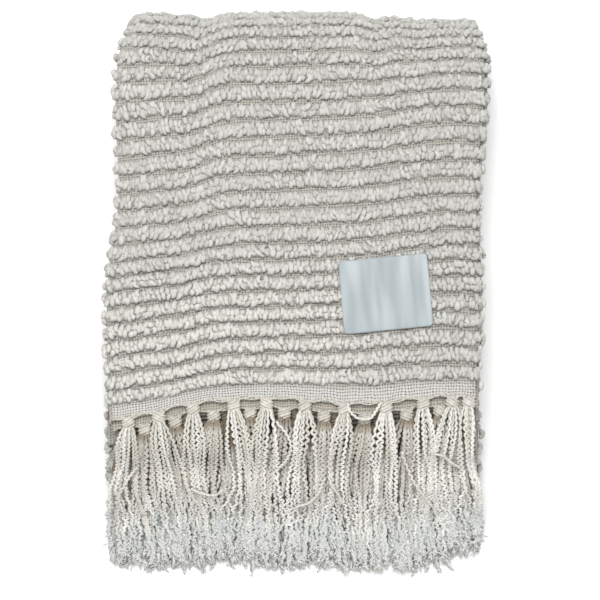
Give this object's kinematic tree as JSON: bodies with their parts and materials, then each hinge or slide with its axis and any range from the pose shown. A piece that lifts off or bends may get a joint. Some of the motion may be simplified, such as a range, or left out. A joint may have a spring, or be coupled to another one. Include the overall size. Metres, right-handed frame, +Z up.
{
  "type": "folded boucle throw",
  "caption": "Woven throw with raised boucle ribs, knotted fringe and a bare sewn label, folded flat into a rectangular stack.",
  "frame": {"origin": "middle of the box of the folded throw, on the surface that it lies on", "axes": "+Z up from the surface, +Y along the throw from its fringe to its folded back edge, +X to the right seen from the fringe"},
  "size_m": [0.3322, 0.5032, 0.0885],
  "materials": {
    "cloth": "matte ivory boucle",
    "strand": "matte twisted ivory yarn",
    "satin": "white satin"
  },
  "bodies": {
    "root": {"throw_cloth": "cloth", "fringe_top_1": "strand", "fringe_top_2": "strand", "fringe_top_3": "strand", "fringe_top_4": "strand", "fringe_lower_1": "strand", "fringe_lower_2": "strand", "fringe_lower_3": "strand", "fringe_lower_4": "strand", "label": "satin"}
  },
  "joints": []
}
